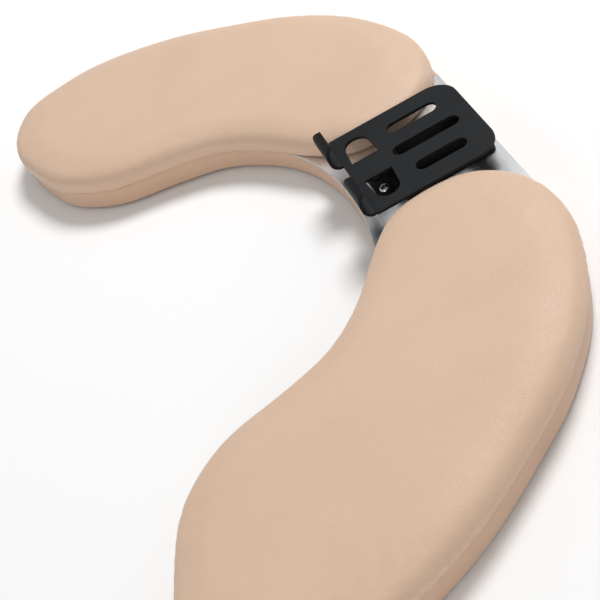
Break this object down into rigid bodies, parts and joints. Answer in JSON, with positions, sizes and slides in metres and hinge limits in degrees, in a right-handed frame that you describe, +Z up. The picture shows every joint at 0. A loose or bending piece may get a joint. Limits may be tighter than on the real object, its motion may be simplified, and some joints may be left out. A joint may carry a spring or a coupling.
{
  "type": "manicure hand rest",
  "caption": "U-shaped manicure hand rest: two padded arm cushions on one covered base, with a steel bridge plate and a folding phone holder.",
  "frame": {"origin": "on the surface it stands on, under the middle of its bounding box", "axes": "+X across the two pads, -Y out of the open side of the U, +Z up"},
  "size_m": [0.454, 0.2179, 0.0375],
  "materials": {
    "leatherette": "satin",
    "plywood": "matte",
    "foam": "matte",
    "black_cloth": "matte",
    "black_rubber": "matte",
    "brushed_plate": "brushed",
    "bright_screw": "polished",
    "zinc": "satin",
    "black_steel": "satin",
    "black_screw": "satin",
    "nylon": "matte"
  },
  "bodies": {
    "base": {"base_board": "plywood", "base_cover": "leatherette", "base_lining": "black_cloth", "rubber_feet": "black_rubber", "bridge_plate": "brushed_plate", "plate_screws": "zinc", "pad_board_left": "plywood", "pad_board_right": "plywood", "pad_foam_left": "foam", "pad_foam_right": "foam", "pad_cover_left": "leatherette", "pad_cover_right": "leatherette", "pad_tnuts": "zinc", "pad_bolts": "zinc", "holder_base": "black_steel", "holder_bolts": "bright_screw", "holder_washers": "black_steel", "holder_nuts": "zinc", "arm_hinge_screw": "black_screw", "arm_hinge_nut": "zinc", "arm_hinge_washers": "nylon"},
    "arm": {"holder_arm": "black_steel"},
    "cradle": {"phone_cradle": "black_steel", "cradle_hinge_screw": "black_screw", "cradle_hinge_nut": "zinc", "cradle_hinge_washers": "nylon"}
  },
  "joints": [
    {"name": "arm_fold", "type": "hinge", "parent": "base", "child": "arm", "pos_m": [0, 0.1006, 0.0184], "axis": [-1, 0, 0], "range_deg": [0, 90]},
    {"name": "cradle_tilt", "type": "hinge", "parent": "arm", "child": "cradle", "pos_m": [0, 0.0624, 0.0184], "axis": [1, 0, 0], "range_deg": [0, 153]}
  ],
  "couplings": [
    {"joint": "cradle_tilt", "follows": "arm_fold", "ratio": 1.7}
  ]
}
